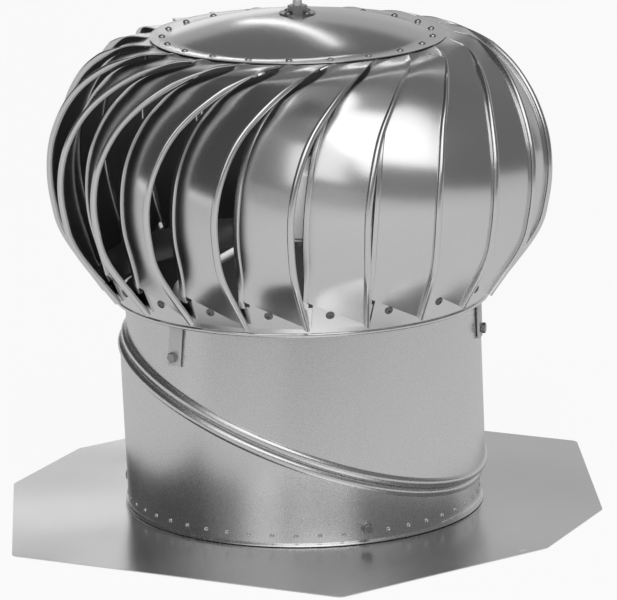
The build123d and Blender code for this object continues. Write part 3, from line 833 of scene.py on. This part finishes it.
shown_solids = {
    "roof_flashing": flashing_metal,
    "flashing_neck": flashing_metal,
    "leg_1": steel,
    "leg_2": steel,
    "leg_3": steel,
    "leg_nuts": zinc,
    "bearing_housing": steel,
    "upper_bearing": bearing_polymer,
    "lower_bearing": bearing_polymer,
    "shaft": steel,
    "thrust_collar": steel,
    "retaining_ring": steel,
    "hub_flange": steel,
    "top_washer": zinc,
    "top_nut": zinc,
}
for name, material in shown_solids.items():
    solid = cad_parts[name]
    solid.data.materials.clear()
    solid.data.materials.append(material)


# studio

def build_floor():
    """Pale floor that stays white to the camera and keeps a soft shadow."""
    mesh = bpy.data.meshes.new("floor")
    corners = [(x * floor_reach, y * floor_reach, 0) for x, y in ((-1, -1), (1, -1), (1, 1), (-1, 1))]
    mesh.from_pydata(corners, [], [(0, 1, 2, 3)])
    floor = bpy.data.objects.new("floor", mesh)
    bpy.context.collection.objects.link(floor)
    material = bpy.data.materials.new("floor")
    finish = Finish(material)
    path = finish.tree.nodes.new("ShaderNodeLightPath").outputs
    seen = Value(finish, path["Is Camera Ray"]) * floor_glow_seen
    mirrored = Value(finish, path["Is Glossy Ray"]) + Value(finish, path["Is Transmission Ray"])
    paint = finish.node("ShaderNodeBsdfDiffuse", None, {"Color": (floor_tone, floor_tone, floor_tone, 1)})
    glow = finish.node("ShaderNodeEmission", None, {"Color": (1, 1, 1, 1), "Strength": 1.0})
    share = seen + mirrored * floor_glow_mirrored
    mix = finish.node("ShaderNodeMixShader", None, {0: share, 1: paint, 2: glow})
    finish.node("ShaderNodeOutputMaterial", None, {"Surface": mix})
    mesh.materials.append(material)


def build_world():
    """White background to the camera and in reflections, softer as a light."""
    world = bpy.data.worlds.new("studio")
    bpy.context.scene.world = world
    finish = Finish(world)
    path = finish.tree.nodes.new("ShaderNodeLightPath").outputs
    camera = Value(finish, path["Is Camera Ray"])
    glossy = Value(finish, path["Is Glossy Ray"])
    through = Value(finish, path["Is Transmission Ray"])
    strength = world_ambient + (camera + glossy + through) * (1.0 - world_ambient)
    light = finish.node("ShaderNodeBackground", None, {"Color": (1, 1, 1, 1), "Strength": strength})
    finish.node("ShaderNodeOutputWorld", None, {"Surface": light})


def studio_point(azimuth, elevation, distance):
    """Return a place in the studio seen from the rotor, azimuth in degrees from the camera's."""
    a = camera_azimuth + math.radians(azimuth)
    e = math.radians(elevation)
    back = Vector((math.sin(a) * math.cos(e), -math.cos(a) * math.cos(e), math.sin(e)))
    return studio_centre + back * distance


def flag(name, azimuths, elevations, tone):
    """A curved board out of the camera's sight that shades the metal's reflections."""
    columns, rows = 12, 8
    points = []
    for row in range(rows + 1):
        elevation = elevations[0] + (elevations[1] - elevations[0]) * row / rows
        for column in range(columns + 1):
            azimuth = azimuths[0] + (azimuths[1] - azimuths[0]) * column / columns
            points.append(studio_point(azimuth, elevation, flag_distance))
    width = columns + 1
    faces = []
    for row in range(rows):
        for column in range(columns):
            corner = row * width + column
            faces.append((corner, corner + 1, corner + width + 1, corner + width))
    mesh = bpy.data.meshes.new(name)
    mesh.from_pydata([tuple(point) for point in points], [], faces)
    board = bpy.data.objects.new(name, mesh)
    bpy.context.collection.objects.link(board)
    material = bpy.data.materials.new(name)
    finish = Finish(material)
    glow = finish.node("ShaderNodeEmission", None, {"Color": (tone, tone, tone, 1), "Strength": 1.0})
    finish.node("ShaderNodeOutputMaterial", None, {"Surface": glow})
    mesh.materials.append(material)
    board.visible_camera = False
    board.visible_shadow = False


def softbox(name, azimuth, elevation, distance, width, height, power, lean=0.0):
    """A soft rectangular lamp aimed at the rotor, leaning by an angle in degrees."""
    lamp = bpy.data.lights.new(name, "AREA")
    lamp.shape = "RECTANGLE"
    lamp.size = width
    lamp.size_y = height
    lamp.energy = power
    made = bpy.data.objects.new(name, lamp)
    made.location = studio_point(azimuth, elevation, distance)
    aim = (studio_centre - made.location).to_track_quat("-Z", "Y").to_matrix()
    made.rotation_euler = (aim @ Matrix.Rotation(math.radians(lean), 3, "Z")).to_euler()
    bpy.context.collection.objects.link(made)


def inner_fill(azimuth, elevation, distance, power):
    """A small lamp that the metal doesn't mirror, to show the braces inside the rotor."""
    lamp = bpy.data.lights.new("inner_fill", "POINT")
    lamp.shadow_soft_size = 0.03
    lamp.energy = power
    made = bpy.data.objects.new("inner_fill", lamp)
    made.location = studio_point(azimuth, elevation, distance)
    made.visible_glossy = False
    bpy.context.collection.objects.link(made)


def build_camera():
    """The photograph's camera, from a fit to the rivet circles and outlines."""
    camera = bpy.data.cameras.new("camera")
    camera.sensor_width = 36.0
    camera.lens = camera_focal_pixels * camera.sensor_width / photo_width
    camera.clip_end = 100
    made = bpy.data.objects.new("camera", camera)
    bpy.context.collection.objects.link(made)
    back = Vector((
        math.sin(camera_azimuth) * math.cos(camera_elevation),
        -math.cos(camera_azimuth) * math.cos(camera_elevation),
        math.sin(camera_elevation),
    ))
    place = (Vector((0, 0, aim_height)) + back * camera_distance) * MM
    level = (-back).to_track_quat("-Z", "Y").to_matrix()
    right = (aim_pixel[0] - photo_width / 2) / camera_focal_pixels
    up = (photo_height / 2 - aim_pixel[1]) / camera_focal_pixels
    shift = Matrix.Rotation(right, 3, "Y") @ Matrix.Rotation(-up, 3, "X")
    turn = level @ shift @ Matrix.Rotation(camera_roll, 3, "Z")
    made.matrix_world = Matrix.Translation(place) @ turn.to_4x4()
    bpy.context.scene.camera = made


build_floor()
build_world()
flag("left_flag", (-160, -62), (2, 80), 0.07)
flag("front_left_low_flag", (-62, -8), (-2, 12), 0.42)
flag("front_left_flag", (-62, -8), (12, 80), 0.24)
flag("front_flag", (-8, 36), (-2, 80), 0.24)
flag("right_flag", (36, 120), (-2, 80), 0.17)
flag("right_back_flag", (120, 180), (-2, 12.5), 0.52)
flag("back_flag", (120, 200), (12.5, 26), 0.48)
flag("upper_back_flag", (120, 200), (26, 80), 0.18)
flag("top_flag", (0, 360), (80, 89), 0.3)
softbox("key", 13, 52, 2.4, width=1.7, height=2.3, power=16)
softbox("strip", -29, 35, 2.6, width=1.2, height=1.6, power=5.5)
softbox("back_strip", 180, 31, 2.6, width=0.06, height=1.2, power=0.8, lean=26)
softbox("rear_top", 180, 66, 2.4, width=2.0, height=0.1, power=0.8)
inner_fill(-30, 40, 0.13, power=0.5)
build_camera()
bpy.context.scene.view_settings.view_transform = "Standard"
